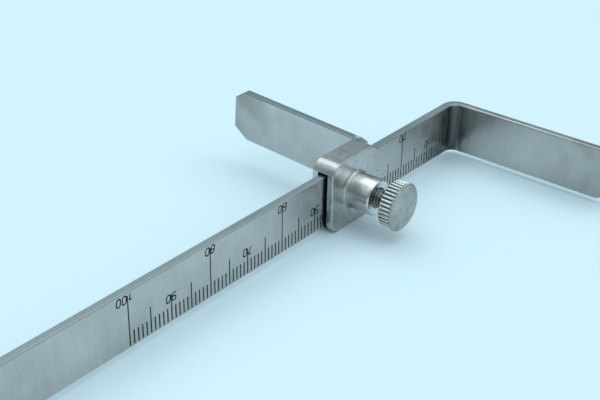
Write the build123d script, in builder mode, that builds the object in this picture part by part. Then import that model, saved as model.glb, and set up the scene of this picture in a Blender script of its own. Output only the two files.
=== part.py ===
from build123d import *
from math import cos, radians, sin, sqrt
import os

# A sliding gauge made of steel strip. The strip is bent at one end into the fixed jaw, carries an
# engraved millimetre scale, and runs through a sleeve that holds the sliding jaw. A thumb screw
# with an inner pressure pad clamps the sleeve. All sizes are in millimetres.
#
# X runs along the blade, from the fixed jaw to the free end. Y points the way the fixed jaw points,
# which is also the side of the scale and of the screw. Z is up. The origin is the centre of the
# bounding box, on the surface that the gauge stands on.

# ---- driving dimensions ----

# Steel strip that the blade and both jaws are made of
strip_height = 11.7
strip_thickness = 1.8
strip_top_radius = 0.35
strip_lower_radius = 0.75
tip_edge_radius = 0.25

# Blade and fixed jaw
blade_length = 150.0
bend_radius = 1.6
free_end_radius = 3.0
fixed_jaw_reach = 40.0
sliding_jaw_reach = 36.0

# The sliding jaw leans up from the block towards its tip by this many degrees.
sliding_jaw_lean = 3.1

# Chamfered jaw tips: run along the jaw, then height
tip_upper_chamfer = (2.6, 2.0)
tip_lower_chamfer = (4.0, 2.6)

# Engraved scale: one mark per millimetre
first_reading = 2
last_reading = 100
engraving_depth = 0.10
millimetre_mark = (0.34, 3.6)
long_mark_width = 0.30
half_mark_height = 6.15
tall_mark_height = 10.9

# Numerals: slanting stroke digits on both sides of their mark. The slant is run over rise.
digit_width = 0.88
digit_height = 1.5
digit_stroke = 0.30
digit_to_mark = 0.26
digit_to_digit = 0.42
digit_slant = 0.18
low_numeral_middle = 5.45
high_numeral_middle = 10.35

# Slider block, and the position that it is built in
reading_at_rest = 31.7
block_length = 15.2
block_height = 15.2
block_depth = 5.2
block_corner_radius = 2.6
block_edge_radius = 0.30
block_floor = 0.90
block_rear_wall = 1.45
slot_height = 12.35
slot_depth = 2.45

# Running clearance of the blade in the slot, at its lower edge and at its rear face
slot_clearance = 0.05

# Root of the sliding jaw, let into the block over the slot
jaw_root_past_rear_face = 2.5
jaw_root_chamfer = (1.8, 0.6)

# Braze
jaw_braze_radius = 0.6
bead_radius = 0.5
boss_braze_radius = 0.7

# Threaded boss, with its spigot through the block's front wall
boss_radius = 3.8
boss_length = 5.8
boss_edge = 0.25
spigot_radius = 2.8

# Thumb screw, M4, and the swivelling pad that it presses on the blade
thread_crest_radius = 1.95
thread_root_radius = 1.58
thread_pitch = 0.7
thread_groove_width = 0.59
thread_clearance = 0.05
head_radius = 5.1
head_thickness = 2.95
head_gap = 3.2
head_edge = 0.35
knurl_count = 38
knurl_depth = 0.30
pad_radius = 1.6
pad_length = 1.85
pad_gap = 0.05
pad_edge = 0.15
pivot_radius = 0.75
pivot_length = 1.0

# ---- places worked out from them ----

face_y = (sliding_jaw_reach - fixed_jaw_reach) / 2
rear_y = face_y - strip_thickness
fixed_tip_y = face_y + fixed_jaw_reach
sliding_tip_y = face_y - sliding_jaw_reach

zero_x = strip_thickness - blade_length / 2
free_end_x = blade_length / 2
blade_low = block_floor + slot_clearance
blade_middle = blade_low + strip_height / 2

block_far_x = zero_x + reading_at_rest
block_near_x = block_far_x + block_length
block_rear_y = rear_y - slot_clearance - block_rear_wall
block_front_y = block_rear_y + block_depth
slot_rear_y = rear_y - slot_clearance
slot_front_y = slot_rear_y + slot_depth
slot_top = block_floor + slot_height

screw_x = (block_far_x + block_near_x) / 2
screw_z = block_height / 2
boss_face_y = block_front_y + boss_length
pad_low_y = face_y + pad_gap
screw_tip_y = pad_low_y + pad_length + pad_gap
head_low_y = boss_face_y + head_gap

jaw_top = block_height
jaw_low = jaw_top - strip_height
jaw_root_y = block_rear_y + jaw_root_past_rear_face

# The leaning jaw turns about its top edge at the block's rear face. Its length is what brings the
# outer corner of its tip, which the lean carries outwards, to the stated reach.
lean = radians(sliding_jaw_lean)
tip_corner_below_top = strip_height - tip_lower_chamfer[1]
jaw_length = (block_rear_y - sliding_tip_y - tip_corner_below_top * sin(lean)) / cos(lean)
lean_axis = Axis((block_far_x, block_rear_y, jaw_top), (1, 0, 0))

# Depth of the cuts that go right through a strip or a jaw
through_strip = 3 * strip_thickness

screw_axis = Axis((screw_x, 0, screw_z), (0, 1, 0))

# A plane on the blade's front face with its origin at the scale's zero. Readings run along its x,
# and the marks hang from the blade's lower edge, so they run down from y = 0.
scale_plane = Plane(origin=(zero_x, face_y, blade_low), x_dir=(1, 0, 0), z_dir=(0, 1, 0))


def screw_plane(y):
    """A plane across the screw's axis, facing out along +Y."""
    return Plane(origin=(screw_x, y, screw_z), x_dir=(1, 0, 0), z_dir=(0, 1, 0))


def turning_plane(y):
    """A plane along the screw's axis, for sections to revolve: x is the radius, and y runs along +Y."""
    return Plane(origin=(screw_x, y, screw_z), x_dir=(1, 0, 0), z_dir=(0, 0, 1))


def tip_chamfers(tip_y, into_jaw, low, high):
    """The two corner triangles that come off a jaw's tip, for the sketch that is open."""
    for z, inward, (run, rise) in ((high, -1, tip_upper_chamfer), (low, 1, tip_lower_chamfer)):
        Polygon(
            (tip_y, z),
            (tip_y + into_jaw * run, z),
            (tip_y, z + inward * rise),
            align=None,
        )


def tip_rims(jaw, tip_y):
    """The long rims of the cut faces at a jaw's tip: all of their edges that don't run across it."""
    reach = max(tip_upper_chamfer[0], tip_lower_chamfer[0])
    cut_faces = jaw.faces().filter_by(lambda f: abs(f.center().Y - tip_y) < reach / 2 + tip_edge_radius)
    cut_faces = cut_faces.filter_by(lambda f: abs(f.normal_at().Y) > 0.3)
    return cut_faces.edges().filter_by(Axis.X, reverse=True)


def corner_piece(corner, inward, radius):
    """A corner outside its inscribed quarter circle, for the sketch that is open.

    It is what rounding takes off a corner, and also the section of a braze fillet in one.
    """
    x, y = corner
    along_x = (x + inward[0] * radius, y)
    along_y = (x, y + inward[1] * radius)
    short_of_arc = radius * (1 - sqrt(0.5))
    on_arc = (x + inward[0] * short_of_arc, y + inward[1] * short_of_arc)
    with BuildLine() as outline:
        Polyline(along_x, corner, along_y)
        ThreePointArc(along_y, on_arc, along_x)
    make_face(outline.line)


# Section of the strip. Its lower edges are rounder than its top ones.
with BuildSketch() as strip_section:
    Rectangle(strip_thickness, strip_height)
    fillet(strip_section.vertices().group_by(Axis.Y)[-1], strip_top_radius)
    fillet(strip_section.vertices().group_by(Axis.Y)[0], strip_lower_radius)

# ---- engraved scale ----

# Strokes of the digits: corner points in a unit box, with the radius of the corners between them.
# A loop is one stroke whose ends overlap.
digit_strokes = {
    "0": [(0.46, [(0.0, 0.6), (0.0, 0.0), (1.0, 0.0), (1.0, 1.0), (0.0, 1.0), (0.0, 0.5)])],
    "1": [(0.20, [(0.2, 0.7), (0.7, 1.0), (0.7, 0.0)])],
    "2": [(0.20, [(0.0, 0.7), (0.0, 1.0), (1.0, 1.0), (1.0, 0.6), (0.0, 0.0), (1.0, 0.0)])],
    "3": [
        (0.30, [(0.0, 1.0), (1.0, 1.0), (1.0, 0.53), (0.4, 0.53)]),
        (0.30, [(0.4, 0.53), (1.0, 0.53), (1.0, 0.0), (0.0, 0.0)]),
    ],
    "4": [(0.20, [(0.75, 0.0), (0.75, 1.0), (0.0, 0.3), (1.0, 0.3)])],
    "5": [
        (0.20, [(0.95, 1.0), (0.1, 1.0), (0.1, 0.58), (0.5, 0.58)]),
        (0.32, [(0.5, 0.58), (1.0, 0.58), (1.0, 0.0), (0.0, 0.0)]),
    ],
    "6": [
        (0.32, [(0.6, 0.55), (0.0, 0.55), (0.0, 0.0), (1.0, 0.0), (1.0, 0.55), (0.5, 0.55)]),
        (0.32, [(0.9, 1.0), (0.0, 1.0), (0.0, 0.3)]),
    ],
    "7": [(0.20, [(0.0, 1.0), (1.0, 1.0), (0.35, 0.0)])],
    "8": [
        (0.32, [(0.6, 0.53), (0.0, 0.53), (0.0, 0.0), (1.0, 0.0), (1.0, 0.53), (0.5, 0.53)]),
        (0.30, [(0.6, 0.53), (0.0, 0.53), (0.0, 1.0), (1.0, 1.0), (1.0, 0.53), (0.5, 0.53)]),
    ],
    "9": [
        (0.32, [(0.6, 0.45), (0.0, 0.45), (0.0, 1.0), (1.0, 1.0), (1.0, 0.45), (0.5, 0.45)]),
        (0.32, [(0.1, 0.0), (1.0, 0.0), (1.0, 0.7)]),
    ],
}


def mark_height(reading):
    """Height of the mark at a reading above the blade's lower edge."""
    if reading % 20 == 0:
        return tall_mark_height
    if reading % 5 == 0:
        return half_mark_height
    return millimetre_mark[1]


def digit_lefts(reading):
    """Left edge of each digit: the first stands before its mark, the others after it."""
    count = len(str(reading))
    first = reading - digit_to_mark - digit_width
    rest = [reading + digit_to_mark + n * (digit_width + digit_to_digit) for n in range(count - 1)]
    return [first] + rest


def digit_line(corner_radius, points, left, low):
    """One stroke of a digit, moved to its place and with its corners rounded."""
    placed = [
        (left + x * digit_width + (y - 0.5) * digit_height * digit_slant, low + y * digit_height)
        for x, y in points
    ]
    return FilletPolyline(*placed, radius=corner_radius * digit_width)


with BuildSketch(scale_plane) as graduation_marks:
    for reading in range(first_reading, last_reading + 1):
        width, height = millimetre_mark
        with Locations((reading, -(strip_lower_radius + height) / 2)):
            Rectangle(width, height - strip_lower_radius)
        if reading % 5 == 0:
            with Locations((reading, -(height + mark_height(reading)) / 2)):
                Rectangle(long_mark_width, mark_height(reading) - height)

with BuildSketch(scale_plane) as numeral_marks:
    for reading in range(10, last_reading + 1, 10):
        middle = high_numeral_middle if reading % 20 == 0 else low_numeral_middle
        for digit, left in zip(str(reading), digit_lefts(reading)):
            for corner_radius, points in digit_strokes[digit]:
                with BuildLine():
                    digit_line(corner_radius, points, left, -middle - digit_height / 2)
                trace(line_width=digit_stroke)
    add(graduation_marks.sketch_local, mode=Mode.SUBTRACT)

with BuildPart() as scale_graduations:
    extrude(graduation_marks.sketch, amount=-engraving_depth)

with BuildPart() as scale_numerals:
    extrude(numeral_marks.sketch, amount=-engraving_depth)

# ---- blade ----

with BuildPart() as blade:
    with BuildLine():
        FilletPolyline(
            (free_end_x, face_y - strip_thickness / 2, blade_middle),
            (zero_x - strip_thickness / 2, face_y - strip_thickness / 2, blade_middle),
            (zero_x - strip_thickness / 2, fixed_tip_y, blade_middle),
            radius=bend_radius + strip_thickness / 2,
        )
    free_end_centre = (free_end_x, face_y - strip_thickness / 2, blade_middle)
    with BuildSketch(Plane(origin=free_end_centre, x_dir=(0, -1, 0), z_dir=(-1, 0, 0))):
        add(strip_section.sketch)
    sweep()

    # Chamfered tip of the fixed jaw
    with BuildSketch(Plane.YZ.offset(zero_x - 2 * strip_thickness)):
        tip_chamfers(fixed_tip_y, -1, blade_low, blade_low + strip_height)
    extrude(amount=through_strip, mode=Mode.SUBTRACT)
    fillet(tip_rims(blade, fixed_tip_y), tip_edge_radius)

    # Rounded corners of the free end
    with BuildSketch(Plane.XZ.offset(-face_y - strip_thickness)):
        corner_piece((free_end_x, blade_low), (-1, 1), free_end_radius)
        corner_piece((free_end_x, blade_low + strip_height), (-1, -1), free_end_radius)
    extrude(amount=through_strip, mode=Mode.SUBTRACT)

    extrude(graduation_marks.sketch, amount=-engraving_depth, mode=Mode.SUBTRACT)
    extrude(numeral_marks.sketch, amount=-engraving_depth, mode=Mode.SUBTRACT)

# ---- sliding jaw ----

jaw_centre_x = block_far_x + strip_thickness / 2
level_tip_y = block_rear_y - jaw_length

# The jaw before it leans
with BuildPart() as level_jaw:
    with BuildSketch(Plane.XZ.offset(-jaw_root_y)):
        with Locations((jaw_centre_x, (jaw_low + jaw_top) / 2)):
            add(strip_section.sketch)
    extrude(amount=jaw_root_y - level_tip_y)

    with BuildSketch(Plane.YZ.offset(block_far_x - strip_thickness)):
        tip_chamfers(level_tip_y, 1, jaw_low, jaw_top)
        root_run, root_drop = jaw_root_chamfer
        Polygon(
            (jaw_root_y, jaw_top),
            (jaw_root_y - root_run, jaw_top),
            (jaw_root_y, jaw_top - root_drop),
            align=None,
        )
    extrude(amount=through_strip, mode=Mode.SUBTRACT)
    fillet(tip_rims(level_jaw, level_tip_y), tip_edge_radius)

with BuildPart() as sliding_jaw:
    add(level_jaw.part.rotate(lean_axis, -sliding_jaw_lean))

    # The slot is cut through the root of the jaw as well as through the block.
    with BuildSketch(Plane.YZ.offset(block_far_x - strip_thickness)):
        with Locations((slot_rear_y, slot_top)):
            Rectangle(block_depth, block_height, align=(Align.MIN, Align.MAX))
    extrude(amount=through_strip, mode=Mode.SUBTRACT)

# ---- slider block ----

with BuildPart() as slider_block:
    with BuildSketch(Plane.XZ.offset(-block_front_y)):
        with Locations((screw_x, block_height / 2)):
            RectangleRounded(block_length, block_height, block_corner_radius)
    extrude(amount=block_depth)
    face_edges = slider_block.faces().filter_by(Axis.Y).edges()
    fillet(face_edges, block_edge_radius)

    # Slot for the blade, open at both ends
    with BuildSketch(Plane.YZ.offset(block_far_x)):
        with Locations((slot_rear_y, block_floor)):
            Rectangle(slot_depth, slot_height, align=(Align.MIN, Align.MIN))
    extrude(amount=block_length, mode=Mode.SUBTRACT)

    # Hole for the spigot of the boss, through the front wall
    with BuildSketch(screw_plane(block_front_y)):
        Circle(spigot_radius)
    extrude(amount=slot_front_y - block_front_y, mode=Mode.SUBTRACT)

    # Seat of the sliding jaw
    add(sliding_jaw.part, mode=Mode.SUBTRACT)

# ---- braze of the sliding jaw ----

with BuildPart() as jaw_braze:
    # Concave fillet in the corner between the jaw and the block's rear face
    with BuildSketch(Plane.XY.offset(jaw_low + strip_lower_radius)):
        corner_piece((block_far_x + strip_thickness, block_rear_y), (1, -1), jaw_braze_radius)
    extrude(amount=block_height - block_corner_radius - jaw_low - strip_lower_radius)

    # Bead that stands on the jaw's top edge where it enters the block
    with Locations((jaw_centre_x, block_rear_y + bead_radius, jaw_top)):
        Sphere(bead_radius)
    add(sliding_jaw.part, mode=Mode.SUBTRACT)
    add(slider_block.part, mode=Mode.SUBTRACT)

# ---- threaded boss ----

with BuildPart() as threaded_boss:
    with BuildSketch(screw_plane(block_front_y)):
        Circle(boss_radius)
    extrude(amount=boss_length)
    chamfer(threaded_boss.edges().group_by(Axis.Y)[-1], boss_edge)
    with BuildSketch(screw_plane(block_front_y)):
        Circle(spigot_radius)
    extrude(amount=slot_front_y - block_front_y)

    # Bore: a guide for the pad, then the threaded length with a lead-in
    with BuildSketch(screw_plane(slot_front_y)):
        Circle(pad_radius + thread_clearance)
    extrude(amount=boss_face_y - slot_front_y, mode=Mode.SUBTRACT)
    with BuildSketch(screw_plane(screw_tip_y - pad_gap)):
        Circle(thread_crest_radius + thread_clearance)
    extrude(amount=boss_face_y - screw_tip_y + pad_gap, mode=Mode.SUBTRACT)
    chamfer(threaded_boss.edges().group_by(Axis.Y)[-1].sort_by(SortBy.RADIUS)[0], boss_edge)

with BuildPart() as boss_braze:
    with BuildSketch(turning_plane(block_front_y)):
        corner_piece((boss_radius, 0), (1, 1), boss_braze_radius)
    revolve(axis=screw_axis)

# ---- thumb screw ----

thread_length = head_low_y - screw_tip_y
thread_turns = int(thread_length / thread_pitch)

with BuildPart() as thumb_screw:
    with BuildSketch(screw_plane(screw_tip_y)):
        Circle(thread_crest_radius)
    extrude(amount=thread_length)

    # The thread, as one V groove per turn
    with BuildSketch(turning_plane(screw_tip_y)):
        for turn in range(thread_turns):
            groove_y = (turn + 0.5) * thread_pitch
            Polygon(
                (thread_crest_radius, groove_y - thread_groove_width / 2),
                (thread_root_radius, groove_y),
                (thread_crest_radius, groove_y + thread_groove_width / 2),
                align=None,
            )
    revolve(axis=screw_axis, mode=Mode.SUBTRACT)

    # Pivot that carries the pad
    with BuildSketch(screw_plane(screw_tip_y)):
        Circle(pivot_radius)
    extrude(amount=-pivot_length)

    # Head, with a straight knurl
    with BuildSketch(screw_plane(head_low_y)):
        Circle(head_radius)
    extrude(amount=head_thickness)
    head_rims = thumb_screw.edges().filter_by(GeomType.CIRCLE).filter_by(lambda e: e.radius > boss_radius)
    chamfer(head_rims, head_edge)
    with BuildSketch(screw_plane(head_low_y)):
        with PolarLocations(head_radius, knurl_count):
            with Locations(Rotation(0, 0, 45)):
                Rectangle(knurl_depth * sqrt(2), knurl_depth * sqrt(2))
    extrude(amount=head_thickness, mode=Mode.SUBTRACT)

# ---- pressure pad ----

with BuildPart() as pressure_pad:
    with BuildSketch(screw_plane(pad_low_y)):
        Circle(pad_radius)
    extrude(amount=pad_length)
    chamfer(pressure_pad.edges().group_by(Axis.Y)[0], pad_edge)
    with BuildSketch(screw_plane(pad_low_y + pad_length)):
        Circle(pivot_radius + thread_clearance)
    extrude(amount=-pivot_length, mode=Mode.SUBTRACT)

# ---- write the pieces ----

pieces = {
    "blade": blade,
    "scale_graduations": scale_graduations,
    "scale_numerals": scale_numerals,
    "slider_block": slider_block,
    "sliding_jaw": sliding_jaw,
    "jaw_braze": jaw_braze,
    "threaded_boss": threaded_boss,
    "boss_braze": boss_braze,
    "thumb_screw": thumb_screw,
    "pressure_pad": pressure_pad,
}

os.makedirs("parts", exist_ok=True)
for node_name, piece in pieces.items():
    piece.part.label = node_name
    export_step(piece.part, f"parts/{node_name}.step")
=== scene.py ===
import math

import bpy
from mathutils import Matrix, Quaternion, Vector, noise


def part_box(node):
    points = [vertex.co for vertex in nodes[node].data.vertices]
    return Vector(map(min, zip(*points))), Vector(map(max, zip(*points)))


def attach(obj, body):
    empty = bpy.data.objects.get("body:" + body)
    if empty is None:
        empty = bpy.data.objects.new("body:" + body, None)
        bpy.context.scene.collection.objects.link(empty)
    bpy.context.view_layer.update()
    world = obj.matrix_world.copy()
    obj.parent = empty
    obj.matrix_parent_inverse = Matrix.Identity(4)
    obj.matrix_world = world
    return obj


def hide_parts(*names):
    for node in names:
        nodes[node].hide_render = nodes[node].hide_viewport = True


# Looks of the marking gauge: materials for its CAD nodes, a thumb screw with a real thread and
# knurl, braze with an uneven surface, a pale floor, soft light and the camera. Lengths given in
# millimetres are multiplied by MM, because the frame is in metres.

MM = 0.001

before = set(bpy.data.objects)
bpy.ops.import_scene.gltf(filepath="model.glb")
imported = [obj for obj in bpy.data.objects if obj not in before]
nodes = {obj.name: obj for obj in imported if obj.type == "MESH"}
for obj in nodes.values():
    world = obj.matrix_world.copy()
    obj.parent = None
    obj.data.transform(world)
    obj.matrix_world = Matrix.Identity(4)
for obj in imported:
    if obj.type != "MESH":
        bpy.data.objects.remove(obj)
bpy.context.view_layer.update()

scene = bpy.context.scene
scene.view_settings.view_transform = "Standard"

# ---- places taken from the frame ----

block_low, block_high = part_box("slider_block")
boss_low, boss_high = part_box("threaded_boss")
screw_low, screw_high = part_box("thumb_screw")
blade_low, blade_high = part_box("blade")

screw_x = (boss_low.x + boss_high.x) / 2
screw_z = (boss_low.z + boss_high.z) / 2

# Inner faces of the strip where it bends into the fixed jaw
bend_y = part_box("scale_graduations")[1].y
strip_thickness = bend_y - blade_low.y
bend_x = blade_low.x + strip_thickness

# Height of the sliding jaw's lower edge where it enters the block
jaw_root_low = block_high.z - (blade_high.z - blade_low.z)

# ---- sizes of the thumb screw ----

HEAD_RADIUS = (screw_high.x - screw_low.x) / 2
HEAD_THICKNESS = 2.95 * MM
HEAD_CHAMFER = 0.35 * MM
KNURLS = 38
KNURL_DEPTH = 0.44 * MM
CREST = 1.95 * MM
ROOT = 1.50 * MM
PITCH = 0.7 * MM
PIVOT_RADIUS = 0.75 * MM
PIVOT_LENGTH = 1.0 * MM

# ---- colours of stains, wear, tone, painted shade and a painted highlight: red, green, blue and 1 ----

BEND_SHADE = (0.055, 0.058, 0.060, 1.0)
TIP_DARKENING = (0.20, 0.19, 0.17, 1.0)
UPPER_EDGE_SHADE = (0.20, 0.255, 0.275, 1.0)
LOWER_EDGE_HIGHLIGHT = (0.86, 0.87, 0.87, 1.0)
MOTTLE = (0.16, 0.165, 0.165, 1.0)
KNURL_GROOVE_TONE = (0.13, 0.135, 0.14, 1.0)
KNURL_CREST = (0.78, 0.79, 0.79, 1.0)
OLD_FLUX = (0.40, 0.39, 0.36, 1.0)
BARE_SPECK = (0.12, 0.14, 0.15, 1.0)

# ---- shader building blocks ----


class Shader:
    """A new material with a Principled shader, and short calls that add nodes to it."""

    def __init__(self, name):
        self.material = bpy.data.materials.new(name)
        self.material.use_nodes = True
        self.tree = self.material.node_tree
        self.bsdf = self.tree.nodes["Principled BSDF"]
        self.coordinates = self.tree.nodes.new("ShaderNodeTexCoord").outputs["Object"]

    def node(self, kind, **settings):
        made = self.tree.nodes.new(kind)
        for key, value in settings.items():
            setattr(made, key, value)
        return made

    def feed(self, socket, value):
        """Connects a socket to an output, or sets it to a constant."""
        if isinstance(value, bpy.types.NodeSocket):
            self.tree.links.new(value, socket)
        else:
            socket.default_value = value

    def math(self, operation, a, b=0.0):
        made = self.node("ShaderNodeMath", operation=operation)
        self.feed(made.inputs[0], a)
        self.feed(made.inputs[1], b)
        return made.outputs[0]

    def spread(self, value, low, high, to_low=0.0, to_high=1.0):
        """Maps a value from low..high to to_low..to_high, and holds it there outside."""
        made = self.node("ShaderNodeMapRange")
        self.feed(made.inputs["Value"], value)
        made.inputs["From Min"].default_value = low
        made.inputs["From Max"].default_value = high
        made.inputs["To Min"].default_value = to_low
        made.inputs["To Max"].default_value = to_high
        return made.outputs["Result"]

    def stretch(self, per_metre, turn=(0.0, 0.0, 0.0), vector=None):
        """Coordinates turned, then scaled to so many units per metre along each axis."""
        made = self.node("ShaderNodeMapping")
        self.feed(made.inputs["Vector"], vector or self.coordinates)
        made.inputs["Rotation"].default_value = turn
        made.inputs["Scale"].default_value = per_metre
        return made.outputs["Vector"]

    def noise(self, vector, detail=2.0, roughness=0.5):
        made = self.node("ShaderNodeTexNoise")
        self.feed(made.inputs["Vector"], vector)
        made.inputs["Scale"].default_value = 1.0
        made.inputs["Detail"].default_value = detail
        made.inputs["Roughness"].default_value = roughness
        return made.outputs["Fac"]

    def mix(self, factor, a, b):
        made = self.node("ShaderNodeMix", data_type="RGBA")
        self.feed(made.inputs["Factor"], factor)
        self.feed(made.inputs["A"], a)
        self.feed(made.inputs["B"], b)
        return made.outputs["Result"]

    def bump(self, height, distance, strength):
        made = self.node("ShaderNodeBump")
        self.feed(made.inputs["Height"], height)
        made.inputs["Distance"].default_value = distance
        made.inputs["Strength"].default_value = strength
        return made.outputs["Normal"]

    def edges(self, radius):
        """1 at edges sharper than the radius, falling to 0 on flat and gently curved surface."""
        softened = self.node("ShaderNodeBevel", samples=4)
        softened.inputs["Radius"].default_value = radius
        true_normal = self.node("ShaderNodeNewGeometry").outputs["Normal"]
        dot = self.node("ShaderNodeVectorMath", operation="DOT_PRODUCT")
        self.feed(dot.inputs[0], softened.outputs[0])
        self.feed(dot.inputs[1], true_normal)
        return self.spread(dot.outputs["Value"], 0.995, 0.90)

    def turned(self):
        """Coordinates of a turned part: distance from the screw's axis, then place along it."""
        shift = self.node("ShaderNodeVectorMath", operation="SUBTRACT")
        self.feed(shift.inputs[0], self.coordinates)
        shift.inputs[1].default_value = (screw_x, 0.0, screw_z)
        split = self.node("ShaderNodeSeparateXYZ")
        self.feed(split.inputs[0], shift.outputs[0])
        flat = self.node("ShaderNodeCombineXYZ")
        self.feed(flat.inputs["X"], split.outputs["X"])
        self.feed(flat.inputs["Z"], split.outputs["Z"])
        radius = self.node("ShaderNodeVectorMath", operation="LENGTH")
        self.feed(radius.inputs[0], flat.outputs[0])
        joined = self.node("ShaderNodeCombineXYZ")
        self.feed(joined.inputs["X"], radius.outputs["Value"])
        self.feed(joined.inputs["Y"], split.outputs["Y"])
        return joined.outputs[0]


def bend_shade_mask(s):
    """1 in the inside corner of the bend, fading out along both arms: the mask of the painted shade
    there.
    """
    split = s.node("ShaderNodeSeparateXYZ")
    s.feed(split.inputs[0], s.coordinates)
    from_x = s.math("SUBTRACT", split.outputs["X"], bend_x)
    from_y = s.math("SUBTRACT", split.outputs["Y"], bend_y)
    inside = s.spread(s.math("MINIMUM", from_x, from_y), -0.6 * MM, -0.3 * MM)
    below_top = s.spread(split.outputs["Z"], blade_high.z - 0.30 * MM, blade_high.z - 0.60 * MM)
    inside = s.math("MULTIPLY", inside, below_top)
    uneven = s.noise(s.stretch((420, 420, 160)), detail=3.0)
    wander = s.math("MULTIPLY", s.math("SUBTRACT", uneven, 0.5), 5.0 * MM)
    along = s.math("SUBTRACT", from_x, from_y)

    # It reaches further along the blade than along the jaw
    away = s.math("MAXIMUM", s.math("MULTIPLY", along, 0.40), s.math("MULTIPLY", along, -1.0))
    full_within, gone_beyond = 0.8 * MM, 5.5 * MM
    dark = s.spread(s.math("ADD", away, wander), gone_beyond, full_within)

    # One line in it is painted lighter, as a reflection along the bend
    line = s.math("ABSOLUTE", s.math("ADD", along, 1.7 * MM))
    dark = s.math("MULTIPLY", dark, s.spread(line, 0.15 * MM, 0.55 * MM, 0.45, 1.0))
    return s.math("MULTIPLY", inside, dark)


def rolled_edges(s):
    """Two masks for the strip's long edges: 1 on the upper ones, and 1 on the lower ones."""
    normal = s.node("ShaderNodeSeparateXYZ")
    s.feed(normal.inputs[0], s.node("ShaderNodeTexCoord").outputs["Normal"])
    upper = s.spread(normal.outputs["Z"], 0.10, 0.45)
    lower = s.spread(normal.outputs["Z"], -0.15, -0.55)

    # The painted shade on the upper edges is mostly left off along the fixed jaw
    place = s.node("ShaderNodeSeparateXYZ")
    s.feed(place.inputs[0], s.coordinates)
    shade_share = s.spread(place.outputs["Y"], bend_y + 1 * MM, bend_y + 5 * MM, 1.0, 0.1)
    return s.math("MULTIPLY", upper, shade_share), lower


def knurl_tones(s, colour):
    """Darker in the grooves of the head's knurl and lighter on its crests, by distance from the axis."""
    split = s.node("ShaderNodeSeparateXYZ")
    s.feed(split.inputs[0], s.turned())
    radius = split.outputs["X"]
    groove = HEAD_RADIUS - KNURL_DEPTH
    on_knurl = s.spread(radius, groove - 0.08 * MM, groove - 0.04 * MM)
    behind_rim = s.spread(split.outputs["Y"], screw_high.y - 0.25 * MM, screw_high.y - 0.45 * MM)
    on_knurl = s.math("MULTIPLY", on_knurl, behind_rim)
    groove_dark = s.spread(radius, groove + 0.30 * MM, groove + 0.05 * MM, 0.0, 0.75)
    crest = s.spread(radius, HEAD_RADIUS - 0.18 * MM, HEAD_RADIUS - 0.04 * MM, 0.0, 0.8)
    colour = s.mix(s.math("MULTIPLY", on_knurl, groove_dark), colour, KNURL_GROOVE_TONE)
    return s.mix(s.math("MULTIPLY", on_knurl, crest), colour, KNURL_CREST)


def near_jaw_tips(s):
    """0 along the blade and the inner half of both jaws, rising to 1 at their tips."""
    split = s.node("ShaderNodeSeparateXYZ")
    s.feed(split.inputs[0], s.coordinates)
    from_blade = s.math("ABSOLUTE", s.math("SUBTRACT", split.outputs["Y"], bend_y))
    return s.spread(from_blade, 20 * MM, 36 * MM)


def grain(s, turned):
    """Fine and wide grain lines: along Z, or round the screw's axis on a turned part."""
    place = s.turned() if turned else s.coordinates
    fine_scale = (4200, 4200, 0) if turned else (3600, 3600, 110)
    wide_scale = (900, 900, 0) if turned else (620, 620, 45)
    fine = s.noise(s.stretch(fine_scale, vector=place), detail=2.0)
    wide = s.noise(s.stretch(wide_scale, vector=place), detail=3.0)
    return fine, wide


def fine_scratches(s):
    """1 on fine scratches that run in two directions."""
    scratch_a = s.noise(s.stretch((260, 2600, 2600), (0.0, 0.5, 0.35)), detail=1.0)
    scratch_b = s.noise(s.stretch((2400, 2400, 210), (0.6, 0.25, 0.0)), detail=1.0)
    return s.math("MAXIMUM", s.spread(scratch_a, 0.70, 0.78), s.spread(scratch_b, 0.71, 0.79))


def strip_tips_and_painted_edges(s, colour, stains, upper, lower, rolled):
    """Darker patches towards the jaw tips, painted shade on the upper edges, and a painted highlight on
    the lower edges.
    """
    patchy = s.spread(stains, 0.40, 0.60, 0.35, 0.65)
    # Darker in patches towards the jaw tips
    colour = s.mix(s.math("MULTIPLY", near_jaw_tips(s), patchy), colour, TIP_DARKENING)
    # Painted shade on the upper edges, dark and bluish
    colour = s.mix(s.math("MULTIPLY", upper, rolled), colour, UPPER_EDGE_SHADE)
    # Painted highlight on the lower edges, a bright line along them
    return s.mix(s.math("MULTIPLY", lower, 0.85), colour, LOWER_EDGE_HIGHLIGHT)


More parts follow.
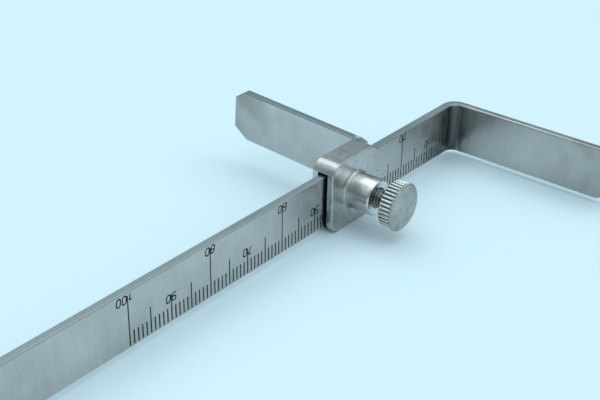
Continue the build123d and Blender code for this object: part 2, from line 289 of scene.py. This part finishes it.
def steel(
    name, dark, light, rough, turned=False, bend=False, rolled=0.0,
    mottle=0.0, relief=0.006 * MM, knurl=False, stained=0.45,
    edge_wear_and_shade_colour=(0.74, 0.76, 0.77),
):
    """Satin stainless steel: grain, faint clouds, stains, scratches and worn edges.

    Dark and light are the ends of its range of tone, and rough is its middle roughness.
    Rolled is above 0 on strip, and is the share of painted shade on its upper edges.
    Mottle is the strength of small dark patches, and stained that of large warm ones.
    Relief is the depth of the grain, and edge_wear_and_shade_colour is the colour of worn edges; the
    block's dark one is painted shade.
    Turned lays the grain in rings, bend adds painted shade in the bend's inside corner, and knurl
    darkens the head's grooves and lightens its crests.
    """
    s = Shader(name)
    fine, wide = grain(s, turned)
    clouds = s.noise(s.stretch((85, 85, 85)), detail=3.0, roughness=0.55)
    stains = s.noise(s.stretch((130, 130, 110)), detail=3.0, roughness=0.5)

    tone = s.math("ADD", s.math("MULTIPLY", fine, 0.50), s.math("MULTIPLY", wide, 0.50))
    tone = s.math("ADD", s.math("MULTIPLY", tone, 0.55), s.math("MULTIPLY", clouds, 0.75))
    colour = s.mix(s.spread(tone, 0.38, 0.92), (*dark, 1.0), (*light, 1.0))

    # Faint warm stains, as handling leaves them
    warm = tuple(c * f for c, f in zip(dark, (0.80, 0.73, 0.64)))
    colour = s.mix(s.spread(stains, 0.44, 0.68, 0.0, stained), colour, (*warm, 1.0))

    if mottle:
        patches = s.noise(s.stretch((520, 520, 520)), detail=4.0, roughness=0.65)
        colour = s.mix(s.spread(patches, 0.42, 0.66, 0.0, mottle), colour, MOTTLE)
    if knurl:
        colour = knurl_tones(s, colour)
    if rolled:
        upper, lower = rolled_edges(s)
        colour = strip_tips_and_painted_edges(s, colour, stains, upper, lower, rolled)
    # Painted shade in the inside corner of the bend, where the blade and the jaw shade each other
    if bend:
        colour = s.mix(s.math("MULTIPLY", bend_shade_mask(s), 0.88), colour, BEND_SHADE)

    # Worn edges have their own colour and are smoother; the block's dark edge colour is painted shade
    edge = s.math("MULTIPLY", s.edges(0.25 * MM), s.spread(stains, 0.30, 0.60, 0.35, 1.0))
    if rolled:
        edge = s.math("MULTIPLY", edge, s.math("SUBTRACT", 1.0, upper))
    colour = s.mix(s.math("MULTIPLY", edge, 0.55), colour, (*edge_wear_and_shade_colour, 1.0))

    scratches = fine_scratches(s)
    roughness = s.spread(wide, 0.30, 0.70, rough - 0.045, rough + 0.045)
    roughness = s.math("ADD", roughness, s.spread(clouds, 0.35, 0.65, -0.03, 0.04))
    roughness = s.math("SUBTRACT", roughness, s.math("MULTIPLY", edge, 0.08))
    if rolled:
        roughness = s.math("ADD", roughness, s.math("MULTIPLY", upper, 0.16))
    s.feed(s.bsdf.inputs["Roughness"], s.math("ADD", roughness, s.math("MULTIPLY", scratches, 0.05)))

    height = s.math("ADD", fine, s.math("MULTIPLY", wide, 0.8))
    height = s.math("SUBTRACT", height, s.math("MULTIPLY", scratches, 0.5))
    s.feed(s.bsdf.inputs["Normal"], s.bump(height, relief, 0.5))
    s.feed(s.bsdf.inputs["Base Color"], colour)
    s.bsdf.inputs["Metallic"].default_value = 1.0
    return s.material


def braze(name):
    """Silver braze: smooth, bright, slightly rippled, with dull spots of old flux."""
    s = Shader(name)
    ripple = s.noise(s.stretch((700, 700, 700)), detail=3.0)
    spots = s.noise(s.stretch((1500, 1500, 1500)), detail=2.0)
    colour = s.mix(s.spread(ripple, 0.35, 0.65), (0.44, 0.45, 0.44, 1.0), (0.64, 0.65, 0.63, 1.0))
    colour = s.mix(s.spread(spots, 0.62, 0.72, 0.0, 0.5), colour, OLD_FLUX)
    s.feed(s.bsdf.inputs["Base Color"], colour)
    s.feed(s.bsdf.inputs["Roughness"], s.spread(spots, 0.3, 0.8, 0.28, 0.48))
    s.feed(s.bsdf.inputs["Normal"], s.bump(ripple, 0.04 * MM, 0.5))
    s.bsdf.inputs["Metallic"].default_value = 1.0
    return s.material


def engraving(name):
    """The dark filling of the scale's marks: matt and uneven, with specks where steel shows."""
    s = Shader(name)
    patches = s.noise(s.stretch((900, 900, 900)), detail=3.0)
    specks = s.noise(s.stretch((6000, 6000, 6000)), detail=2.0)
    colour = s.mix(s.spread(patches, 0.35, 0.70), (0.008, 0.009, 0.011, 1.0), (0.030, 0.035, 0.039, 1.0))
    colour = s.mix(s.spread(specks, 0.66, 0.74, 0.0, 0.4), colour, BARE_SPECK)
    s.feed(s.bsdf.inputs["Base Color"], colour)
    s.feed(s.bsdf.inputs["Roughness"], s.spread(specks, 0.3, 0.7, 0.60, 0.80))
    s.feed(s.bsdf.inputs["Normal"], s.bump(specks, 0.02 * MM, 0.6))
    s.bsdf.inputs["Specular IOR Level"].default_value = 0.25
    return s.material


def brass(name):
    """Turned brass of the pressure pad."""
    s = Shader(name)
    lines = s.noise(s.stretch((3000, 3000, 0), vector=s.turned()), detail=2.0)
    tarnish = s.noise(s.stretch((400, 400, 400)), detail=3.0)
    colour = s.mix(s.spread(tarnish, 0.35, 0.70), (0.62, 0.47, 0.24, 1.0), (0.38, 0.27, 0.14, 1.0))
    s.feed(s.bsdf.inputs["Base Color"], colour)
    s.feed(s.bsdf.inputs["Roughness"], s.spread(tarnish, 0.3, 0.7, 0.26, 0.45))
    s.feed(s.bsdf.inputs["Normal"], s.bump(lines, 0.01 * MM, 0.5))
    s.bsdf.inputs["Metallic"].default_value = 1.0
    return s.material


def pale_floor(name):
    """The pale table top that the gauge stands on."""
    s = Shader(name)
    drift = s.noise(s.stretch((3.0, 3.0, 3.0)), detail=2.0)
    colour = s.mix(s.spread(drift, 0.35, 0.65), (0.77, 0.865, 0.925, 1.0), (0.79, 0.885, 0.945, 1.0))
    s.feed(s.bsdf.inputs["Base Color"], colour)
    s.bsdf.inputs["Roughness"].default_value = 0.55
    s.bsdf.inputs["Specular IOR Level"].default_value = 0.25
    return s.material


# ---- mesh building blocks ----


def smooth_by_angle(mesh, degrees):
    """Smooth shading, with every edge sharper than the angle kept sharp."""
    mesh.polygons.foreach_set("use_smooth", [True] * len(mesh.polygons))
    mesh.set_sharp_from_angle(angle=math.radians(degrees))
    mesh.update()


def skin(name, rings, material, sharp_angle, closed=False):
    """A piece whose surface runs through rings of points. Open ends get a cap, closed ones join up."""
    count = len(rings[0])
    points = [p for ring in rings for p in ring]
    faces = []
    spans = len(rings) if closed else len(rings) - 1
    for k in range(spans):
        a, b = k * count, (k + 1) % len(rings) * count
        for i in range(count):
            j = (i + 1) % count
            faces.append((a + i, a + j, b + j, b + i))
    if not closed:
        faces.append(tuple(range(count - 1, -1, -1)))
        faces.append(tuple(range(len(points) - count, len(points))))
    mesh = bpy.data.meshes.new(name)
    mesh.from_pydata(points, [], faces)
    mesh.validate()
    smooth_by_angle(mesh, sharp_angle)
    piece = bpy.data.objects.new(name, mesh)
    scene.collection.objects.link(piece)
    mesh.materials.append(material)
    return piece


def round_screw(angle, radius, y):
    """A point at a distance from the screw's axis. The angle runs from +Z towards +X."""
    return Vector((screw_x + radius * math.sin(angle), y, screw_z + radius * math.cos(angle)))


def ring_round_screw(count, radius_at, y):
    """A ring of points round the screw's axis, with a radius for each angle."""
    angles = [2 * math.pi * i / count for i in range(count)]
    return [round_screw(a, radius_at(a), y) for a in angles]


# ---- thumb screw ----

head_back = screw_high.y - HEAD_THICKNESS
thread_tip = screw_low.y + PIVOT_LENGTH


def knurled(radius, depth):
    """Radius at each angle of a straight knurl: round crests with narrow grooves between them."""
    return lambda angle: radius - depth * (1 - abs(math.cos(KNURLS * angle / 2)) ** 0.8)


def make_screw_head(material):
    """The knurled head: flat back, chamfered rims with knurl between them, flat front."""
    count = KNURLS * 12
    back, front = head_back, screw_high.y
    steps = [
        (back, ROOT, 0.0),
        (back, HEAD_RADIUS - HEAD_CHAMFER - 0.20 * MM, 0.0),
        (back + 0.06 * MM, HEAD_RADIUS - HEAD_CHAMFER, 0.05 * MM),
        (back + HEAD_CHAMFER, HEAD_RADIUS, KNURL_DEPTH),
        (front - HEAD_CHAMFER - 0.08 * MM, HEAD_RADIUS, KNURL_DEPTH),
        (front - HEAD_CHAMFER, HEAD_RADIUS - 0.03 * MM, KNURL_DEPTH * 0.92),
        (front - 0.10 * MM, HEAD_RADIUS - HEAD_CHAMFER * 0.80, 0.03 * MM),
        (front - 0.02 * MM, HEAD_RADIUS - HEAD_CHAMFER * 1.10, 0.0),
        (front, HEAD_RADIUS - HEAD_CHAMFER * 1.60, 0.0),
    ]
    rings = [ring_round_screw(count, knurled(radius, depth), y) for y, radius, depth in steps]
    return skin("thumb_screw_head", rings, material, 38)


def thread_radius(angle, y, fade):
    """Radius of a right-handed V thread. The fade is 0 at full thread and 1 where it has run out."""
    phase = ((y - thread_tip) / PITCH - angle / (2 * math.pi)) % 1.0
    rise = 1 - abs(2 * phase - 1)
    profile = min(1.0, max(0.0, (rise - 0.08) / 0.78))
    return ROOT + (CREST - ROOT) * profile * (1 - fade)


def make_screw_thread(material):
    """The shank: pivot, thread that fades in, full thread, and a run-out at the head."""
    count = 64
    steps_per_turn = 14
    length = head_back - thread_tip
    total = int(length / PITCH * steps_per_turn)
    rings = [
        ring_round_screw(count, lambda a: PIVOT_RADIUS * 0.8, screw_low.y),
        ring_round_screw(count, lambda a: PIVOT_RADIUS, screw_low.y + 0.15 * MM),
        ring_round_screw(count, lambda a: PIVOT_RADIUS, thread_tip - 0.02 * MM),
    ]
    for k in range(total + 1):
        y = thread_tip + length * k / total
        start = max(0.0, 1 - (y - thread_tip) / (0.6 * MM))
        runout = max(0.0, 1 - (head_back - y) / (0.5 * MM))
        fade = min(1.0, start + runout)
        rings.append(ring_round_screw(count, lambda a: thread_radius(a, y, fade), y))
    rings.append(ring_round_screw(count, lambda a: ROOT, head_back + 0.2 * MM))
    return skin("thumb_screw_thread", rings, material, 50)


# ---- braze ----

BOSS_RADIUS = (boss_high.x - boss_low.x) / 2
BURIED = 0.05 * MM


def fillet_section(corner, a, b, size, steps=7):
    """A fillet's section: a concave arc between two faces that leave the corner along a and b."""
    ring = [corner - (a + b) * BURIED]
    for k in range(steps + 1):
        t = math.pi / 2 * k / steps
        ring.append(corner + a * size * (1 - math.cos(t)) + b * size * (1 - math.sin(t)))
    return ring


def wandering(place, size, change):
    """A size that drifts smoothly from place to place, by up to this share of itself."""
    return size * (1 + change * noise.noise(place))


def make_boss_braze(material):
    """The braze ring at the foot of the boss, with an outline that wanders a little."""
    count = 120
    rings = []
    for i in range(count):
        angle = 2 * math.pi * i / count
        out = Vector((math.sin(angle), 0, math.cos(angle)))
        size = wandering(out * 1.7, 0.52 * MM, 0.16)
        corner = round_screw(angle, BOSS_RADIUS, block_high.y)
        rings.append(fillet_section(corner, out, Vector((0, 1, 0)), size))
    return skin("boss_braze_ring", rings, material, 50, closed=True)


def make_jaw_fillet(material):
    """The braze fillet between the sliding jaw's near face and the block's rear face."""
    count = 40
    bottom = jaw_root_low + 1.0 * MM
    top = block_high.z - 2.9 * MM
    corner_x = block_low.x + strip_thickness
    rings = []
    for i in range(count + 1):
        z = bottom + (top - bottom) * i / count
        taper = min(1.0, 0.35 + 3.0 * min(i, count - i) / count)
        size = wandering(Vector((0, 0, z * 450)), 0.55 * MM * taper, 0.30)
        corner = Vector((corner_x, block_low.y, z))
        rings.append(fillet_section(corner, Vector((1, 0, 0)), Vector((0, -1, 0)), size))
    return skin("jaw_braze_fillet", rings, material, 50)


def make_jaw_bead(material):
    """The flat bead of braze that has run along the jaw's top edge where it enters the block."""
    centre_x = block_low.x + strip_thickness / 2
    centre = Vector((centre_x, block_low.y + 0.35 * MM, block_high.z + 0.02 * MM))
    radii = (0.45 * MM, 0.70 * MM, 0.22 * MM)
    count, levels = 28, 12
    rings = []
    for k in range(1, levels):
        polar = math.pi * k / levels
        ring = []
        for i in range(count):
            angle = 2 * math.pi * i / count
            way = Vector((
                math.sin(polar) * math.cos(angle),
                math.sin(polar) * math.sin(angle),
                math.cos(polar),
            ))
            lump = 1 + 0.22 * noise.noise(way * 1.6)
            ring.append(centre + Vector(w * r * lump for w, r in zip(way, radii)))
        rings.append(ring)
    return skin("jaw_braze_bead", rings, material, 60)


# ---- floor, light and camera ----


def make_floor(material):
    half = 2.0
    mesh = bpy.data.meshes.new("floor")
    corners = [(-half, -half, 0), (half, -half, 0), (half, half, 0), (-half, half, 0)]
    mesh.from_pydata(corners, [], [(0, 1, 2, 3)])
    floor = bpy.data.objects.new("floor", mesh)
    mesh.materials.append(material)
    scene.collection.objects.link(floor)


def make_light(name, towards, distance, size, watts, colour):
    """A square soft box that stands in a direction from the block and faces it."""
    light = bpy.data.lights.new(name, "AREA")
    light.shape = "SQUARE"
    light.size = size
    light.energy = watts
    light.color = colour
    lamp = bpy.data.objects.new(name, light)
    way = Vector(towards).normalized()
    lamp.location = (block_low + block_high) / 2 + way * distance
    lamp.rotation_mode = "QUATERNION"
    lamp.rotation_quaternion = way.to_track_quat("Z", "Y")
    scene.collection.objects.link(lamp)


def make_world():
    """Soft light from all round, four times as bright overhead as at the horizon."""
    world = bpy.data.worlds.new("studio")
    world.use_nodes = True
    tree = world.node_tree
    scene.world = world
    way = tree.nodes.new("ShaderNodeTexCoord").outputs["Generated"]
    split = tree.nodes.new("ShaderNodeSeparateXYZ")
    tree.links.new(way, split.inputs[0])
    ramp = tree.nodes.new("ShaderNodeValToRGB")
    tree.links.new(split.outputs["Z"], ramp.inputs["Fac"])
    ramp.color_ramp.elements.new(0.5)
    tint = (0.76, 0.97, 1.04)
    level_at_height = {0.0: 0.30, 0.5: 0.42, 1.0: 1.22}
    for element, (height, level) in zip(ramp.color_ramp.elements, level_at_height.items()):
        element.position = height
        element.color = (*(level * c for c in tint), 1.0)
    tree.links.new(ramp.outputs["Color"], tree.nodes["Background"].inputs["Color"])
    tree.nodes["Background"].inputs["Strength"].default_value = 1.18


def make_camera():
    """Looks down at the block from the screw's side and from towards the blade's free end."""
    azimuth, elevation, roll = (math.radians(a) for a in (38.63, 29.10, 0.98))
    distance = 228.6 * MM
    aim = Vector((block_high.x + 3.24 * MM, block_low.y - 0.35 * MM, (block_low.z + block_high.z) / 2))
    away = Vector((
        math.cos(elevation) * math.cos(azimuth),
        math.cos(elevation) * math.sin(azimuth),
        math.sin(elevation),
    ))
    data = bpy.data.cameras.new("camera")
    data.sensor_width = 36
    data.lens = 69.2
    data.clip_start = 0.01
    camera = bpy.data.objects.new("camera", data)
    camera.location = aim + away * distance
    camera.rotation_mode = "QUATERNION"
    camera.rotation_quaternion = away.to_track_quat("Z", "Y") @ Quaternion((0, 0, 1), roll)
    scene.collection.objects.link(camera)
    scene.camera = camera


# ---- put it together ----

strip_steel = steel(
    "strip_steel", (0.425, 0.415, 0.40), (0.58, 0.57, 0.55), 0.26,
    bend=True, rolled=0.60, stained=0.22,
)
jaw_steel = steel(
    "jaw_steel", (0.46, 0.455, 0.44), (0.64, 0.635, 0.62), 0.26,
    rolled=0.88, stained=0.35,
)
# The block's edges are painted dark: painted shade over the bright reflection along their fillets
block_steel = steel(
    "block_steel", (0.44, 0.437, 0.425), (0.62, 0.617, 0.602), 0.25,
    mottle=0.25, stained=0.30, edge_wear_and_shade_colour=(0.24, 0.25, 0.25),
)
boss_steel = steel(
    "boss_steel", (0.55, 0.545, 0.53), (0.84, 0.83, 0.81), 0.17,
    turned=True, mottle=0.35, relief=0.050 * MM,
)
# The thread is darker than the other steel: partly oil on it, partly painted shade for the shade it sits
# in
thread_steel = steel(
    "thread_steel", (0.22, 0.22, 0.21), (0.38, 0.38, 0.37), 0.24,
    turned=True, edge_wear_and_shade_colour=(0.50, 0.51, 0.51),
)
head_steel = steel(
    "head_steel", (0.37, 0.365, 0.35), (0.55, 0.545, 0.53), 0.26,
    turned=True, mottle=0.45, knurl=True,
)
silver_braze = braze("silver_braze")
scale_filling = engraving("scale_filling")
pad_brass = brass("pad_brass")

node_materials = {
    "blade": strip_steel,
    "scale_graduations": scale_filling,
    "scale_numerals": scale_filling,
    "slider_block": block_steel,
    "sliding_jaw": jaw_steel,
    "threaded_boss": boss_steel,
    "pressure_pad": pad_brass,
}
for node_name, material in node_materials.items():
    mesh = nodes[node_name].data
    mesh.materials.clear()
    mesh.materials.append(material)

for piece in (make_screw_head(head_steel), make_screw_thread(thread_steel)):
    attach(piece, "screw")
    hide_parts("thumb_screw")

for piece, node_name in (
    (make_boss_braze(silver_braze), "boss_braze"),
    (make_jaw_fillet(silver_braze), "jaw_braze"),
    (make_jaw_bead(silver_braze), "jaw_braze"),
):
    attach(piece, "slider")
    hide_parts(node_name)

make_floor(pale_floor("pale_floor"))
make_light("key_light", (-0.22, -0.52, 0.82), 1.5, 1.0, 2.4, (0.96, 1.0, 0.98))
make_light("fill_light", (-0.30, 0.66, 0.68), 1.5, 1.6, 5.5, (0.84, 0.98, 1.0))
make_world()
make_camera()
